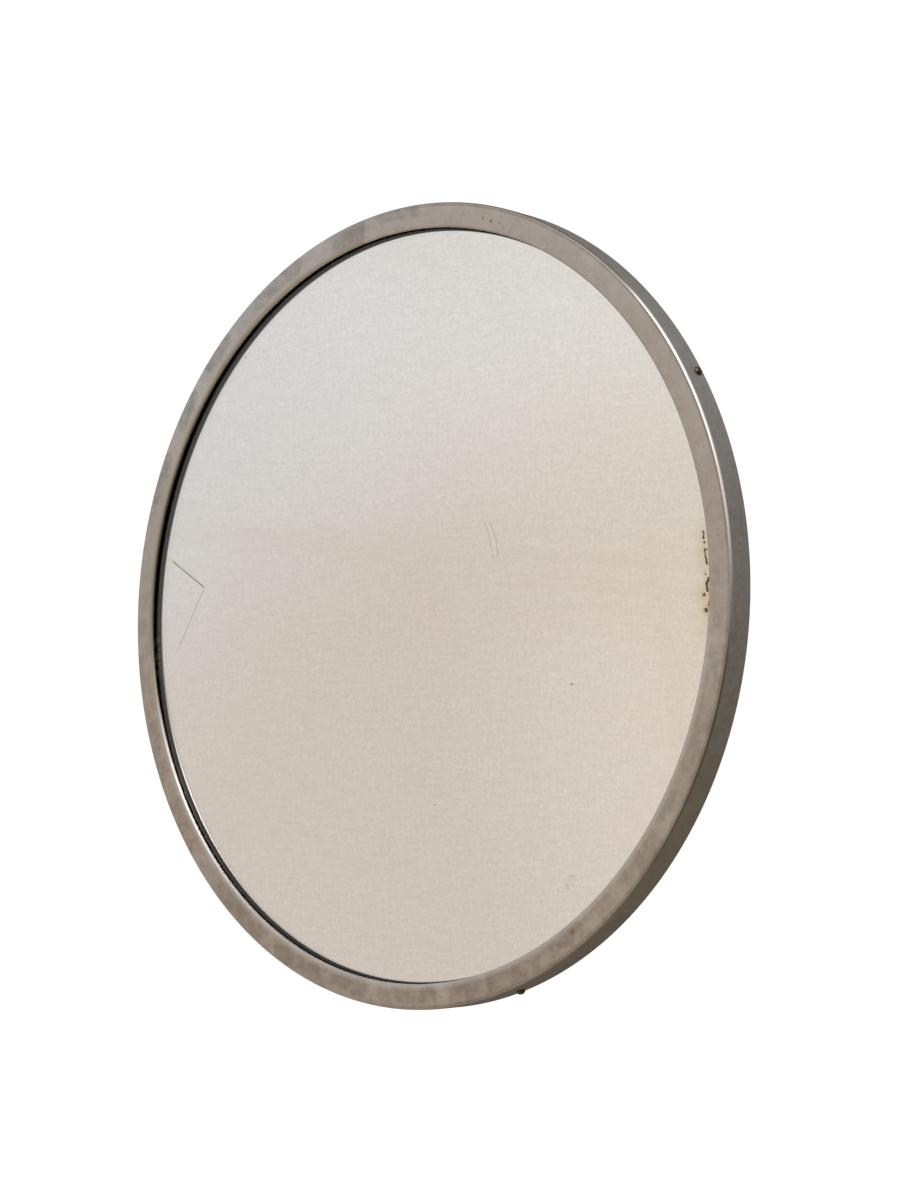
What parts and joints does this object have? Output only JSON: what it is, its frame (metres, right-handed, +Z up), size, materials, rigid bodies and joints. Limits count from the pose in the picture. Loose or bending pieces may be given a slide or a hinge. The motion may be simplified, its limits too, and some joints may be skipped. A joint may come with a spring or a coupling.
{
  "type": "convex traffic mirror",
  "caption": "Round convex safety mirror in a spun metal rim with side screws, closed by a rear pan, on a swivelling and tilting wall bracket.",
  "frame": {"origin": "centre of the wall plate's back face, where it meets the wall", "axes": "+Z up, +X to the right seen from the front, the mirror faces -Y and the wall is on +Y"},
  "size_m": [0.6, 0.2166, 0.6],
  "materials": {
    "rim_metal": "dull nickel-grey spun sheet with a warm patina",
    "clear_glass": "clear convex glass, 5 mm",
    "silver": "silvering, aged, with a painted back",
    "rubber": "black, matt",
    "cork": "pressed cork",
    "pan_paint": "dark grey enamel, satin",
    "brass": "oxidised brass",
    "zinc": "zinc-plated steel",
    "bracket_paint": "dark grey paint, satin",
    "nylon": "natural nylon"
  },
  "bodies": {
    "wall_bracket": {"wall_plate": "bracket_paint", "upper_lug": "bracket_paint", "lower_lug": "bracket_paint", "pan_bolt": "zinc", "pan_nut": "zinc", "pan_washer_upper": "zinc", "pan_washer_lower": "zinc"},
    "swivel_arm": {"pan_barrel": "bracket_paint", "arm_tube": "bracket_paint", "tilt_barrel": "bracket_paint", "upper_bush": "nylon", "lower_bush": "nylon"},
    "mirror_head": {"front_rim": "rim_metal", "mirror_glass": "clear_glass", "silvering": "silver", "lip_gasket": "rubber", "packing_ring": "cork", "rear_pan": "pan_paint", "rim_screw_1": "brass", "rim_nut_1": "zinc", "bracket_bolt_1": "zinc", "bracket_washer_1": "zinc", "bracket_nut_1": "zinc", "rim_screw_2": "brass", "rim_nut_2": "zinc", "bracket_bolt_2": "zinc", "bracket_washer_2": "zinc", "bracket_nut_2": "zinc", "rim_screw_3": "brass", "rim_nut_3": "zinc", "bracket_bolt_3": "zinc", "bracket_washer_3": "zinc", "bracket_nut_3": "zinc", "rim_screw_4": "brass", "rim_nut_4": "zinc", "bracket_bolt_4": "zinc", "bracket_washer_4": "zinc", "bracket_nut_4": "zinc", "stiffener_plate": "zinc", "tilt_bolt": "zinc", "tilt_nut": "zinc", "tilt_washer_left": "zinc", "tilt_washer_right": "zinc", "back_bracket": "bracket_paint"}
  },
  "joints": [
    {"name": "pan", "type": "hinge", "parent": "wall_bracket", "child": "swivel_arm", "pos_m": [0, -0.046, 0], "axis": [0, 0, 1], "range_deg": [-30, 30]},
    {"name": "tilt", "type": "hinge", "parent": "swivel_arm", "child": "mirror_head", "pos_m": [0, -0.13, 0], "axis": [1, 0, 0], "range_deg": [-15, 30]}
  ]
}
